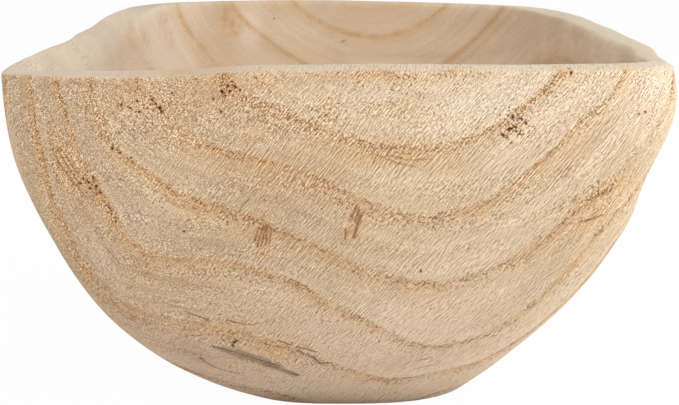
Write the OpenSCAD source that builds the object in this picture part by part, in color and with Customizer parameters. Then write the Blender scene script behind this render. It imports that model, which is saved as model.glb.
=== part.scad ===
// Dough bowl hollowed out of one half log: a long trough with square-rounded corners, full walls
// that fall to a small foot, a hand-cut rim that waves a little, and a foot planed flat.
// Millimetres. The length runs along Y with the near end at -Y, and the foot stands on Z = 0.

/* [Rim] */
// Length of the bowl over the rim
rim_length = 430; // [380:1:480]
// Reach of the rim to the left of the log's centre line
rim_left = 136; // [120:0.5:150]
// Reach of the rim to the right of the log's centre line
rim_right = 131; // [116:0.5:146]
// Height of the rim above the table, before its waves
rim_height = 153.5; // [135:0.5:175]
// How much narrower the far end is than the near end
rim_narrowing = 25; // [0:1:40]
// How far the middle of the bowl bows to the right of its ends
rim_bow = 3.5; // [0:0.5:8]
// Round of the rim's outer edge
lip_outer = 2; // [1:0.5:4]
// Round of the rim's inner edge
lip_inner = 3; // [2:0.5:6]
// Round of the rim's inner edge on the left, where its top leans into the hollow
lip_left = 10; // [6:0.5:12]

/* [Waves of the rim] */
// Depth of the dip cut into the near rim
dip_depth = 2.4; // [0:0.1:5]
// Where that dip begins, left of the centre line
dip_begin = 20; // [10:1:35]
// Where that dip is full, left of the centre line
dip_full = 75; // [55:1:90]
// Rise of the far rim at its middle
far_crown = 1.8; // [0:0.1:4]
// Shift of that rise to the left, as a share of the half width
crown_shift = 0.3; // [0:0.05:0.6]
// Sag of the left rim at its middle
sag_left = 2.9; // [0:0.1:6]
// Sag of the right rim at its middle
sag_right = 1; // [0:0.5:6]
// Step in the left rim just past its middle
step_left = 0.9; // [0:0.1:3]
// Depth of the notch cut into the rim at the near right corner
notch_depth = 2.2; // [0:0.1:4]

/* [Foot] */
// Reach of the flat foot to the left
foot_left = 54.5; // [46:0.5:63]
// Reach of the flat foot to the right
foot_right = 63.5; // [54:0.5:73]
// Reach of the flat foot towards each end
foot_end = 98; // [85:1:115]

/* [Wall section] */
// Spread of the wall where it leaves the foot, on the left
flare_left = 42; // [32:1:50]
// Spread of the wall where it leaves the foot, on the right
flare_right = 6; // [0:1:14]
// Spread of the wall where it leaves the foot, at the ends
flare_end = 42; // [30:1:52]
// Height over which that spread is made
flare_height = 19; // [14:0.5:24]
// How far the shoulder stands out past the rim on the left
shoulder_left = -2.5; // [-5:0.5:3]
// How far the shoulder stands out past the rim on the right
shoulder_right = 6; // [2:0.5:10]
// How far the shoulder stands out past the rim at the ends
shoulder_end = -1; // [-4:0.5:2]
// Height at which the shoulder begins
shoulder_height = 73.5; // [64:0.5:88]
// Depth of the flat chopped below the right shoulder
chop_depth = 4; // [0:0.5:5]
// Height of that shoulder and flat together
chop_height = 66; // [50:1:80]
// Height of the two soft swells of the left wall
swell_left = 2; // [0:0.5:4]

/* [Corners] */
// Squareness of the near left corner, where 2 is an ellipse
corner_near_left = 8; // [5:0.5:10]
// Squareness of the near right corner
corner_near_right = 7.5; // [5:0.5:10]
// Squareness of the far left corner
corner_far_left = 7; // [4:0.5:10]
// Squareness of the far right corner
corner_far_right = 5.5; // [4:0.5:10]
// Squareness of the foot
corner_foot = 2.8; // [2:0.1:4]
// How much rounder the hollow's far corners are than the outside ones
corner_ease = 0.5; // [0:0.5:2]
// How much squarer the hollow's near corners are than the outside ones
near_squaring = 2; // [0:0.5:4]

/* [Hollow] */
// Thickness of the side walls at the rim
wall_side = 13; // [10:0.5:16]
// Thickness of the end walls at the rim
wall_end = 18; // [13:0.5:24]
// How much thinner the right wall gets towards the near end
wall_taper = 6; // [0:0.5:7]
// Thickness of the floor over the foot
floor_thickness = 20; // [14:0.5:26]
// Reach of the flat part of the floor to the left
floor_left = 40; // [30:1:46]
// Reach of the flat part of the floor to the right
floor_right = 36; // [28:1:44]
// Reach of the flat part of the floor towards each end
floor_end = 85; // [70:1:95]
// Sweep of the hollow from the floor into the side walls
sweep_side = 40; // [30:1:44]
// Sweep of the hollow from the floor into the end walls
sweep_end = 45; // [35:1:55]
// How much the hollow closes in from the rim down to the shoulder
hollow_lean = 2; // [0:0.5:5]
// Height at which the hollow's walls begin to stand up
hollow_height = 80; // [70:1:95]
// Fall of the rim's top towards the hollow
rim_fall = 0.5; // [0:0.5:2]
// Fall of the rim's top towards the hollow on the left
left_fall = 7; // [3:0.5:10]
// Rise of the rim's top towards the hollow at the two ends
end_rise = 1.2; // [0:0.1:2]

/* [Hidden] */

around = 112;
wall_steps = 14;
lip_steps = 3;
hollow_steps = 12;
floor_steps = 2;
// Power with which the flat below the right shoulder runs out into the wall
chop_fade = 6;
// Places along the left rim, as shares of the half length, where its step and its sag run out
step_begin = 0.02;
step_end = 0.1;
sag_begin = 0.35;
sag_end = 0.85;
// Where the near rim's dip grows shallower towards the left corner, left of the centre line, and how much of
// it is held there
dip_left = 100;
dip_corner = 127;
dip_hold = 0.5;
// Directions in degrees between which the left rim turns into the near rim
corner_turn = [-140, -128];
// Directions in degrees between which the notch is cut, with its soft and its sharp end
notch_ends = [-43, -36, -28.5, -25];
// Shares of the half length and half width over which the two ends and the left side take over
end_from = 0.7;
end_full = 0.97;
left_full = 0.9;
taper_full = 0.85;
// Flat kept between the two rounds of the rim
land = 0.5;
// Power with which the rim's waves fade down the walls
wave_fade = 3;
// Bunching of the points at the four corners
corner_bunching = 0.6;
// Wood left under the foot by the carving, which planing takes off
planing = 1.5;
// Room that the planing cut has all round the foot
planing_margin = 10;
wood_colour = [0.81, 0.70, 0.58];

function mix(a, b, k) = a + (b - a) * k;

// Soft step of v from 0 at low to 1 at high
function smooth(low, high, v) =
    let (k = min(1, max(0, (v - low) / (high - low))))
    k * k * (3 - 2 * k);

// Point at t on the cubic curve with the control values a, b, c and d
function cubic(a, b, c, d, t) =
    let (k = 1 - t)
    a * k * k * k + 3 * b * k * k * t + 3 * c * k * t * t + d * t * t * t;

// Point at q on the round that leaves a, points at b and arrives at c
function round_off(a, b, c, q) =
    let (k = 1 - q)
    a * k * k + 2 * b * k * q + c * q * q;

// Direction of the i-th section, with the sections closer together at the corners
function bearing(i) =
    let (even = 360 * i / around)
    even + corner_bunching / 4 * sin(4 * even) * 180 / PI;

function corner(phi) =
    sin(phi) < 0
    ? (cos(phi) < 0 ? corner_near_left : corner_near_right)
    : (cos(phi) < 0 ? corner_far_left : corner_far_right);

// Reach of a unit superellipse of squareness n in the direction phi
function reach(phi, n) = pow(pow(abs(cos(phi)), n) + pow(abs(sin(phi)), n), -1 / n);

// Height of the hand-cut rim in the direction phi, x from the centre line
function rim_line(phi, x) =
    let (
        far = max(0, sin(phi)),
        side = 1 - abs(sin(phi)),
        heading = atan2(sin(phi), cos(phi)),
        turn = sin(phi) < 0 ? smooth(corner_turn[0], corner_turn[1], heading) : 0,
        hold = mix(dip_hold, 1, smooth(-dip_corner, -dip_left, x)),
        dip = dip_depth * turn * hold * smooth(-dip_begin, -dip_full, x),
        across = cos(phi) * reach(phi, corner(phi)),
        crown = far_crown * far * max(0, 1 - pow(across + crown_shift, 2)),
        back = sag_left * smooth(sag_end, sag_begin, far) + step_left * smooth(step_end, step_begin, far),
        left = sin(phi) < 0 ? (sag_left + step_left) * (1 - turn) : back,
        sag = cos(phi) < 0 ? left : sag_right * side,
        soft_end = smooth(notch_ends[0], notch_ends[1], heading),
        sharp_end = smooth(notch_ends[3], notch_ends[2], heading)
    )
    rim_height - dip + crown - sag - notch_depth * soft_end * sharp_end;

// Share of the two ends in the direction phi
function end_share(phi) = smooth(end_from, end_full, abs(sin(phi)) * reach(phi, corner(phi)));

// Share of the left side, where the rim's top leans into the hollow, in the direction phi
function left_share(phi) =
    smooth(0, left_full, -cos(phi) * reach(phi, corner(phi))) * (1 - end_share(phi));

// Shoulder and flat of the right wall, at a depth below the rim
function chop(phi, depth) =
    let (k = depth / chop_height)
    cos(phi) > 0 && k < 1
    ? chop_depth * cos(phi) * cos(phi) * sin(360 * k) * (1 - pow(k, chop_fade))
    : 0;

// Two soft swells of the left wall, between the foot and the rim
function swell(phi, rise) = cos(phi) < 0 ? swell_left * pow(cos(phi), 2) * pow(sin(360 * rise), 2) : 0;

// Place of a point once the log's narrowing and bow are put in
function bent(x, y, z, rise) =
    let (along = y / rim_length)
    [
        x * (1 - rim_narrowing / (rim_left + rim_right) * (along + 0.5)) + rim_bow * cos(180 * along) * rise,
        y,
        z
    ];

// Point on the outside in the direction phi, from the foot at t = 0 to the rim at t = 1
function outside(phi, t) =
    let (
        spread = reach(phi, mix(corner_foot, corner(phi), max(0, t))),
        rise = cubic(0, flare_height, shoulder_height, rim_height, t) / rim_height,
        left = cubic(foot_left, foot_left + flare_left, rim_left + shoulder_left, rim_left, t),
        right = cubic(foot_right, foot_right + flare_right, rim_right + shoulder_right, rim_right, t),
        end = cubic(foot_end, foot_end + flare_end, rim_length / 2 + shoulder_end, rim_length / 2, t),
        carving = chop(phi, rim_height * (1 - rise)) - swell(phi, rise),
        x = (cos(phi) < 0 ? left : right) * cos(phi) * spread + carving,
        y = end * sin(phi) * spread,
        wave = (rim_line(phi, x) - rim_height) * pow(rise, wave_fade)
    )
    bent(x, y, rim_height * rise + wave, rise);

// Point on the hollow in the direction phi, from the floor at t = 0 to the rim at t = 1
function inside(phi, t) =
    let (
        ease = sin(phi) < 0 ? -near_squaring : corner_ease,
        spread = reach(phi, mix(corner_foot, corner(phi) - ease, t)),
        taper = wall_taper * smooth(0, taper_full, -sin(phi) * reach(phi, corner(phi))),
        rim = cos(phi) < 0 ? rim_left - wall_side : rim_right - wall_side + taper,
        flat = cos(phi) < 0 ? floor_left : floor_right,
        end_rim = rim_length / 2 - wall_end,
        across = cubic(flat, flat + sweep_side, rim - hollow_lean, rim, t),
        along = cubic(floor_end, floor_end + sweep_end, end_rim - hollow_lean, end_rim, t),
        level = cubic(floor_thickness, floor_thickness, hollow_height, rim_height, t),
        x = across * cos(phi) * spread,
        y = along * sin(phi) * spread,
        fall = mix(mix(rim_fall, -end_rise, end_share(phi)), left_fall, left_share(phi)),
        wave = (rim_line(phi, x) - fall - rim_height) * pow(t, wave_fade)
    )
    bent(x, y, level + wave, level / rim_height);

// Steps of t at which the wall and the hollow end and the rounds of the rim begin
planed_t = -planing / (3 * flare_height);
outer_lip_t = 1 - lip_outer / (3 * (rim_height - shoulder_height));
function inner_lip_t(lip) = 1 - lip / (3 * (rim_height - hollow_height));

// Section of the bowl in the direction phi: up the wall, over the rim and down into the hollow
function section(phi) =
    let (
        outer_edge = outside(phi, 1),
        inner_edge = inside(phi, 1),
        thickness = norm(inner_edge - outer_edge),
        lip = min(mix(lip_inner, lip_left, left_share(phi)), thickness - lip_outer - land),
        hollow_t = inner_lip_t(lip),
        outer_top = mix(outer_edge, inner_edge, lip_outer / thickness),
        inner_top = mix(inner_edge, outer_edge, lip / thickness),
        wall_end_point = outside(phi, outer_lip_t),
        hollow_end_point = inside(phi, hollow_t),
        floor_edge = inside(phi, 0)
    )
    concat(
        [for (i = [0:wall_steps - 1]) outside(phi, mix(planed_t, outer_lip_t, i / wall_steps))],
        [for (i = [0:lip_steps]) round_off(wall_end_point, outer_edge, outer_top, i / lip_steps)],
        [for (i = [0:lip_steps]) round_off(inner_top, inner_edge, hollow_end_point, i / lip_steps)],
        [for (i = [hollow_steps - 1:-1:0]) inside(phi, hollow_t * i / hollow_steps)],
        [for (i = [1:floor_steps - 1]) mix(floor_edge, floor_centre, i / floor_steps)]
    );

floor_centre = bent(0, 0, floor_thickness, floor_thickness / rim_height);
sections = [for (i = [0:around - 1]) section(bearing(i))];
stations = len(sections[0]);
skin_points = concat([for (s = sections) each s], [floor_centre]);

// Middle of the bowl's box, which is moved to the origin
mid_x = (min([for (p = skin_points) p[0]]) + max([for (p = skin_points) p[0]])) / 2;
mid_y = (min([for (p = skin_points) p[1]]) + max([for (p = skin_points) p[1]])) / 2;

// Triangles between each section and the next, with the caps over the floor and under the foot
function at(i, j) = (i % around) * stations + j;
wall_faces = [
    for (i = [0:around - 1])
        for (j = [0:stations - 2])
            each [
                [at(i, j), at(i, j + 1), at(i + 1, j + 1)],
                [at(i, j), at(i + 1, j + 1), at(i + 1, j)]
            ]
];
floor_faces = [for (i = [0:around - 1]) [at(i, stations - 1), len(skin_points) - 1, at(i + 1, stations - 1)]];
foot_face = [for (i = [0:around - 1]) at(i, 0)];

module carved_form() {
    polyhedron(skin_points, concat(wall_faces, floor_faces, [foot_face]), convexity = 6);
}

// The planed cut that leaves the foot flat at Z = 0
module planing_cut() {
    width = foot_left + foot_right + 2 * planing_margin;
    length = 2 * (foot_end + planing_margin);
    depth = planing + planing_margin;
    translate([(foot_right - foot_left) / 2 - width / 2, -length / 2, -depth])
        cube([width, length, depth]);
}

module bowl() {
    color(wood_colour)
        translate([-mid_x, -mid_y, 0])
            difference() {
                carved_form();
                planing_cut();
            }
}

bowl();
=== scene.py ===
"""Looks of the carved dough bowl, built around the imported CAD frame.

Metres, +Z up, the photographed end at -Y. The skin follows the same curves as the solid, on a finer
grid, with tool marks, pits and cracks cut into it. The wood is a solid texture: growth rings round a pith
above the rim, vessels along the log, and the stains of the photographed end.
"""

import math

import bmesh
import bpy
import numpy as np
from mathutils import Color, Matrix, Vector, noise
from mathutils.bvhtree import BVHTree


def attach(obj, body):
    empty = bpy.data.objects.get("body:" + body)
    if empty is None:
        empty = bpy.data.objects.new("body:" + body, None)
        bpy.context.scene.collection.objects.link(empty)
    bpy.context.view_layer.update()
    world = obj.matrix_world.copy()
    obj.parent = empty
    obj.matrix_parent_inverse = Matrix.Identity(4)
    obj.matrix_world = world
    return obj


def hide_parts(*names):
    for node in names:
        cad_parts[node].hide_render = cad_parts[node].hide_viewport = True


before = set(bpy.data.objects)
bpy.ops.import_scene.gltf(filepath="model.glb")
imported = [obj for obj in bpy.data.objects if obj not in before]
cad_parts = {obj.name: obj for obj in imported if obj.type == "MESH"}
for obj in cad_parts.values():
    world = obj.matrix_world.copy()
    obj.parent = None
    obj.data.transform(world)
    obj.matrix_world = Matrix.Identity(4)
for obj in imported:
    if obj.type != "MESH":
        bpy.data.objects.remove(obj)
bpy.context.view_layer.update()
MM = 0.001

# Camera, as the photograph's outline gives it
PHOTO_WIDTH = 679
PHOTO_HEIGHT = 405
FOCAL_PIXELS = 2133.5
CAMERA_PLACE = Vector((-1.6, -990, 220.9)) * MM
CAMERA_PITCH = math.radians(8.52)
SENSOR_WIDTH = 36
CLIP_START = 10 * MM

# Rim, in the solid's own sizes
RIM_LENGTH = 430 * MM
RIM_LEFT = 136 * MM
RIM_RIGHT = 131 * MM
RIM_HEIGHT = 153.5 * MM
RIM_NARROWING = 25 * MM
RIM_BOW = 3.5 * MM
LIP_OUTER = 2 * MM
LIP_INNER = 3 * MM
LIP_LEFT = 10 * MM
LAND = 0.5 * MM
RIM_FALL = 0.5 * MM
LEFT_FALL = 7 * MM
END_RISE = 1.2 * MM

# Waves of the rim
DIP_DEPTH = 2.4 * MM
DIP_BEGIN = -20 * MM
DIP_FULL = -75 * MM
DIP_LEFT = -100 * MM
DIP_CORNER = -127 * MM
FAR_CROWN = 1.8 * MM
CROWN_SHIFT = 0.3
SAG_LEFT = 2.9 * MM
SAG_RIGHT = 1 * MM
STEP_LEFT = 0.9 * MM
NOTCH_DEPTH = 2.2 * MM
# Share of the dip that the corner keeps, and how fast the waves fade down the wall
DIP_HOLD = 0.5
WAVE_FADE = 3
# Headings in degrees between which the dip turns and the notch begins and ends
DIP_TURN = (-140, -128)
NOTCH_BEGIN = (-43, -36)
NOTCH_END = (-25, -28.5)
# Shares of the way to an end or side over which the rim and the wall change
SAG_SPAN = (0.85, 0.35)
STEP_SPAN = (0.1, 0.02)
END_SPAN = (0.7, 0.97)
LEFT_SPAN = (0, 0.9)
TAPER_SPAN = (0, 0.85)

# Foot and wall section
FOOT_LEFT = 54.5 * MM
FOOT_RIGHT = 63.5 * MM
FOOT_END = 98 * MM
FLARE_LEFT = 42 * MM
FLARE_RIGHT = 6 * MM
FLARE_END = 42 * MM
FLARE_HEIGHT = 19 * MM
SHOULDER_LEFT = -2.5 * MM
SHOULDER_RIGHT = 6 * MM
SHOULDER_END = -1 * MM
SHOULDER_HEIGHT = 73.5 * MM
CHOP_DEPTH = 4 * MM
CHOP_HEIGHT = 66 * MM
CHOP_FADE = 6
SWELL_LEFT = 2 * MM

# Squareness of the corners
CORNER_NEAR_LEFT = 8
CORNER_NEAR_RIGHT = 7.5
CORNER_FAR_LEFT = 7
CORNER_FAR_RIGHT = 5.5
CORNER_FOOT = 2.8
CORNER_EASE = 0.5
NEAR_SQUARING = 2

# Hollow
WALL_SIDE = 13 * MM
WALL_END = 18 * MM
WALL_TAPER = 6 * MM
FLOOR_THICKNESS = 20 * MM
FLOOR_LEFT = 40 * MM
FLOOR_RIGHT = 36 * MM
FLOOR_END = 85 * MM
SWEEP_SIDE = 40 * MM
SWEEP_END = 45 * MM
HOLLOW_LEAN = 2 * MM
HOLLOW_HEIGHT = 80 * MM

# Grid of the skin: spacing of its sections, where that changes, bearings tried, stations
NEAR_SPACING = 2 * MM
SIDE_SPACING = 5 * MM
FAR_SPACING = 4 * MM
NEAR_SPAN = (0.70, 0.92)
FAR_SPAN = (0.80, 0.95)
FINE_BEARINGS = 20001
FOOT_STATIONS = 6
WALL_STATIONS = 100
LIP_STATIONS = 4
RIM_STATIONS = 3
HOLLOW_STATIONS = 50
FLOOR_STATIONS = 8


def mix(a, b, k):
    return a + (b - a) * k


def smooth_step(low, high, value):
    k = np.clip((value - low) / (high - low), 0, 1)
    return k * k * (3 - 2 * k)


def cubic(a, b, c, d, t):
    """Point at t on the cubic curve with the control values a, b, c and d."""
    k = 1 - t
    return a * k**3 + 3 * b * k * k * t + 3 * c * k * t * t + d * t**3


def round_off(a, b, c, q):
    """Point at q on the round that leaves a, points at b and arrives at c."""
    k = 1 - q
    return a * k * k + 2 * b * k * q + c * q * q


def corner(phi):
    """Squareness of the corner that the direction phi falls in."""
    near = np.where(np.cos(phi) < 0, CORNER_NEAR_LEFT, CORNER_NEAR_RIGHT)
    far = np.where(np.cos(phi) < 0, CORNER_FAR_LEFT, CORNER_FAR_RIGHT)
    return np.where(np.sin(phi) < 0, near, far)


def reach(phi, squareness):
    """Reach of a unit superellipse in the direction phi."""
    across = np.abs(np.cos(phi)) ** squareness
    along = np.abs(np.sin(phi)) ** squareness
    return (across + along) ** (-1 / squareness)


def rim_line(phi, x):
    """Height of the hand-cut rim in the direction phi, at x across."""
    far = np.clip(np.sin(phi), 0, 1)
    side = 1 - np.abs(np.sin(phi))
    heading = np.degrees(np.arctan2(np.sin(phi), np.cos(phi)))
    turn = np.where(np.sin(phi) < 0, smooth_step(*DIP_TURN, heading), 0)
    hold = mix(DIP_HOLD, 1, smooth_step(DIP_CORNER, DIP_LEFT, x))
    dip = DIP_DEPTH * turn * hold * smooth_step(DIP_BEGIN, DIP_FULL, x)
    across = np.cos(phi) * reach(phi, corner(phi))
    crown = FAR_CROWN * far * np.clip(1 - (across + CROWN_SHIFT) ** 2, 0, 1)
    back = SAG_LEFT * smooth_step(*SAG_SPAN, far) + STEP_LEFT * smooth_step(*STEP_SPAN, far)
    left = np.where(np.sin(phi) < 0, (SAG_LEFT + STEP_LEFT) * (1 - turn), back)
    sag = np.where(np.cos(phi) < 0, left, SAG_RIGHT * side)
    notch = NOTCH_DEPTH * smooth_step(*NOTCH_BEGIN, heading) * smooth_step(*NOTCH_END, heading)
    return RIM_HEIGHT - dip + crown - sag - notch


def end_share(phi):
    """Share of the two ends in the direction phi."""
    return smooth_step(*END_SPAN, np.abs(np.sin(phi)) * reach(phi, corner(phi)))


def left_share(phi):
    """Share of the left side, where the rim leans in, in the direction phi."""
    return smooth_step(*LEFT_SPAN, -np.cos(phi) * reach(phi, corner(phi))) * (1 - end_share(phi))


def chop(phi, depth):
    """Shoulder and flat of the right wall, at a depth below the rim."""
    k = depth / CHOP_HEIGHT
    wave = CHOP_DEPTH * np.cos(phi) ** 2 * np.sin(2 * np.pi * k) * (1 - k**CHOP_FADE)
    return np.where((np.cos(phi) > 0) & (k < 1), wave, 0)


def swell(phi, rise):
    """Two soft swells of the left wall, between the foot and the rim."""
    wave = SWELL_LEFT * np.cos(phi) ** 2 * np.sin(2 * np.pi * rise) ** 2
    return np.where(np.cos(phi) < 0, wave, 0)


def bent(x, y, z, rise):
    """Place of a point once the log's narrowing and bow are put in."""
    along = y / RIM_LENGTH
    narrowed = x * (1 - RIM_NARROWING / (RIM_LEFT + RIM_RIGHT) * (along + 0.5))
    return np.stack([narrowed + RIM_BOW * np.cos(np.pi * along) * rise, y, z], axis=-1)


def outside(phi, t):
    """Point on the outside, from the foot at t = 0 to the rim at t = 1."""
    spread = reach(phi, mix(CORNER_FOOT, corner(phi), t))
    rise = cubic(0, FLARE_HEIGHT, SHOULDER_HEIGHT, RIM_HEIGHT, t) / RIM_HEIGHT
    left = cubic(FOOT_LEFT, FOOT_LEFT + FLARE_LEFT, RIM_LEFT + SHOULDER_LEFT, RIM_LEFT, t)
    right = cubic(FOOT_RIGHT, FOOT_RIGHT + FLARE_RIGHT, RIM_RIGHT + SHOULDER_RIGHT, RIM_RIGHT, t)
    half = RIM_LENGTH / 2
    end = cubic(FOOT_END, FOOT_END + FLARE_END, half + SHOULDER_END, half, t)
    x = np.where(np.cos(phi) < 0, left, right) * np.cos(phi) * spread
    x = x + chop(phi, RIM_HEIGHT * (1 - rise)) - swell(phi, rise)
    y = end * np.sin(phi) * spread
    wave = (rim_line(phi, x) - RIM_HEIGHT) * rise**WAVE_FADE
    return bent(x, y, RIM_HEIGHT * rise + wave, rise)


def inside(phi, t):
    """Point on the hollow, from the floor at t = 0 to the rim at t = 1."""
    ease = np.where(np.sin(phi) < 0, -NEAR_SQUARING, CORNER_EASE)
    spread = reach(phi, mix(CORNER_FOOT, corner(phi) - ease, t))
    on_left = np.cos(phi) < 0
    taper = WALL_TAPER * smooth_step(*TAPER_SPAN, -np.sin(phi) * reach(phi, corner(phi)))
    rim = np.where(on_left, RIM_LEFT - WALL_SIDE, RIM_RIGHT - WALL_SIDE + taper)
    flat = np.where(on_left, FLOOR_LEFT, FLOOR_RIGHT)
    end_rim = RIM_LENGTH / 2 - WALL_END
    across = cubic(flat, flat + SWEEP_SIDE, rim - HOLLOW_LEAN, rim, t)
    along = cubic(FLOOR_END, FLOOR_END + SWEEP_END, end_rim - HOLLOW_LEAN, end_rim, t)
    level = cubic(FLOOR_THICKNESS, FLOOR_THICKNESS, HOLLOW_HEIGHT, RIM_HEIGHT, t)
    x = across * np.cos(phi) * spread
    y = along * np.sin(phi) * spread
    fall = mix(mix(RIM_FALL, -END_RISE, end_share(phi)), LEFT_FALL, left_share(phi))
    wave = (rim_line(phi, x) - fall - RIM_HEIGHT) * t**WAVE_FADE
    return bent(x, y, level + wave, level / RIM_HEIGHT)


def bearings():
    """Directions of the sections, closest together on the photographed end."""
    phi = np.linspace(0, 2 * np.pi, FINE_BEARINGS)
    rim = outside(phi, 1)
    end = rim[:, 1] / (RIM_LENGTH / 2)
    spacing = mix(SIDE_SPACING, NEAR_SPACING, smooth_step(*NEAR_SPAN, -end))
    spacing = mix(spacing, FAR_SPACING, smooth_step(*FAR_SPAN, end))
    steps = np.linalg.norm(np.diff(rim, axis=0), axis=1) / ((spacing[1:] + spacing[:-1]) / 2)
    sections = np.concatenate([[0], np.cumsum(steps)])
    count = round(sections[-1])
    return np.interp(np.arange(count) * sections[-1] / count, sections, phi)


def skin_grid():
    """Points of the skin, [section, station], and its poles on the foot and the floor."""
    phi = bearings()[:, None]
    outer_lip_t = 1 - LIP_OUTER / (3 * (RIM_HEIGHT - SHOULDER_HEIGHT))
    outer_edge = outside(phi, 1)
    inner_edge = inside(phi, 1)
    thickness = np.linalg.norm(inner_edge - outer_edge, axis=-1, keepdims=True)
    lip_inner = mix(LIP_INNER, LIP_LEFT, left_share(phi))
    lip_inner = np.minimum(lip_inner, thickness[..., 0] - LIP_OUTER - LAND)
    inner_lip_t = 1 - lip_inner / (3 * (RIM_HEIGHT - HOLLOW_HEIGHT))
    outer_top = mix(outer_edge, inner_edge, LIP_OUTER / thickness)
    inner_top = mix(inner_edge, outer_edge, lip_inner[..., None] / thickness)
    foot_pole = bent(0, 0, 0, 0)
    floor_pole = bent(0, 0, FLOOR_THICKNESS, FLOOR_THICKNESS / RIM_HEIGHT)
    counts = (FOOT_STATIONS, LIP_STATIONS, RIM_STATIONS, FLOOR_STATIONS)
    foot_steps, lip_steps, rim_steps, floor_steps = [np.linspace(0, 1, n + 1)[:, None] for n in counts]
    wall_steps = np.linspace(0, outer_lip_t, WALL_STATIONS)[None, :-1]
    hollow_steps = inner_lip_t * np.linspace(1, 0, HOLLOW_STATIONS)[None, 1:]
    parts = [
        mix(foot_pole, outside(phi, 0), foot_steps[1:-1]),
        outside(phi, wall_steps),
        round_off(outside(phi, outer_lip_t), outer_edge, outer_top, lip_steps),
        mix(outer_top, inner_top, rim_steps[1:-1]),
        round_off(inner_top, inner_edge, inside(phi, inner_lip_t), lip_steps),
        inside(phi, hollow_steps),
        mix(inside(phi, 0), floor_pole, floor_steps[1:-1]),
    ]
    grid = np.concatenate(parts, axis=1)
    middle = (grid.max(axis=(0, 1)) + grid.min(axis=(0, 1))) / 2
    middle[2] = 0
    return grid - middle, foot_pole - middle, floor_pole - middle


def grid_faces(sections, stations):
    """Quads between the sections, and the fans at the two poles."""
    here = np.arange(sections)[:, None] * stations + np.arange(stations - 1)
    there = np.roll(here, -1, axis=0)
    quads = np.stack([here, there, there + 1, here + 1], axis=-1).reshape(-1, 4)
    foot = sections * stations
    ring = list(zip(here[:, 0].tolist(), there[:, 0].tolist()))
    last = stations - 1
    fans = [(a, foot, b) for a, b in ring]
    fans += [(a + last, b + last, foot + 1) for a, b in ring]
    return quads.tolist() + fans


# Growth rings, read off the photographed end, and the pith above the rim
PITH_NEAR = np.array([30, -212, 178]) * MM
PITH_FAR = np.array([18, 195, 191]) * MM
# Radius of each ring straight below the pith
RING_RADII = np.array([54.5, 80.5, 110, 140.5, 172]) * MM
# Courses of those rings, in pixels of the photograph
FIRST_RING = [
    (226, 76), (236, 90), (250, 98), (280, 110), (300, 119), (316, 127), (337, 134), (350, 139), (368, 144),
    (390, 147), (410, 147), (430, 147), (450, 143), (467, 139), (482, 133), (500, 124), (515, 113),
    (530, 101), (545, 90), (560, 73),
]
SECOND_RING = [
    (134, 76), (146, 92), (160, 108), (171, 119), (189, 137), (206, 146), (220, 149), (240, 154), (265, 161),
    (290, 167), (303, 170), (313, 174), (323, 180), (340, 190), (352, 196), (364, 202), (385, 209),
    (400, 213), (415, 216), (426, 218), (440, 215), (455, 211), (480, 205), (492, 197), (500, 192),
    (515, 181), (530, 169), (545, 157), (555, 148), (565, 138), (575, 125), (590, 112), (600, 105),
    (610, 95), (618, 85), (623, 75),
]
THIRD_RING = [
    (92, 80), (97, 105), (103, 130), (112, 146), (122, 154), (136, 163), (150, 174), (165, 184), (180, 194),
    (205, 203), (220, 206), (232, 210), (245, 215), (265, 224), (290, 235), (300, 240), (315, 246),
    (325, 251), (340, 259), (355, 266), (375, 273), (403, 281), (420, 283), (440, 283), (455, 281),
    (475, 275), (497, 267), (510, 260), (530, 250), (545, 240), (560, 225), (571, 213), (582, 207),
    (600, 193), (612, 183), (625, 168), (635, 155), (645, 142), (655, 127), (662, 112), (668, 100),
]
FOURTH_RING = [
    (56, 80), (60, 92), (66, 110), (71, 127), (76, 141), (81, 156), (88, 171), (96, 185), (104, 196),
    (111, 207), (116, 219), (123, 232), (130, 241), (137, 248), (150, 253), (165, 256), (180, 256),
    (195, 255), (210, 255), (225, 258), (240, 261), (255, 267), (275, 273), (290, 278), (300, 283),
    (310, 290), (322, 298), (335, 304), (345, 309), (360, 317), (375, 325), (390, 333), (400, 338),
    (415, 344), (430, 347), (445, 346), (455, 344), (470, 339), (485, 334), (500, 325), (515, 317),
    (527, 307), (540, 295), (550, 287), (560, 277), (575, 262), (585, 250), (597, 233), (605, 222),
    (615, 212), (625, 202), (635, 190), (645, 174),
]
FIFTH_RING = [
    (30, 78), (32, 95), (34, 115), (37, 130), (41, 147), (45, 165), (49, 185), (54, 202), (61, 217),
    (68, 235), (76, 251), (85, 265), (95, 279), (106, 291), (117, 300), (131, 308), (150, 314), (175, 318),
    (200, 322), (230, 329), (260, 337), (290, 347), (320, 358), (345, 368), (370, 376), (390, 380),
    (410, 378), (430, 373), (450, 369), (470, 365), (480, 361), (492, 355),
]
RING_COURSES = [FIRST_RING, SECOND_RING, THIRD_RING, FOURTH_RING, FIFTH_RING]
# Angles from straight down of a ring's stretches, and the weights that smooth these
RING_ANGLES = np.radians(np.arange(-90, 91))
RING_SMOOTHING = np.array([1, 2, 3, 2, 1]) / 9
# Share of the stretch that is lost at the far end, and the number of the first ring
FAR_ROUNDING = 0.7
CORE_RINGS = 2
# Radius at which the way round a ring is measured
ROUND_WAY = 100 * MM


def from_pith(points):
    """Distance from the pith, angle from straight down and share of the near end's stretch."""
    along = (points[..., 1] - PITH_NEAR[1]) / (PITH_FAR[1] - PITH_NEAR[1])
    pith = mix(PITH_NEAR, PITH_FAR, along[..., None])
    x = points[..., 0] - pith[..., 0]
    depth = pith[..., 2] - points[..., 2]
    return np.hypot(x, depth), np.arctan2(x, depth), 1 - FAR_ROUNDING * along


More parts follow.
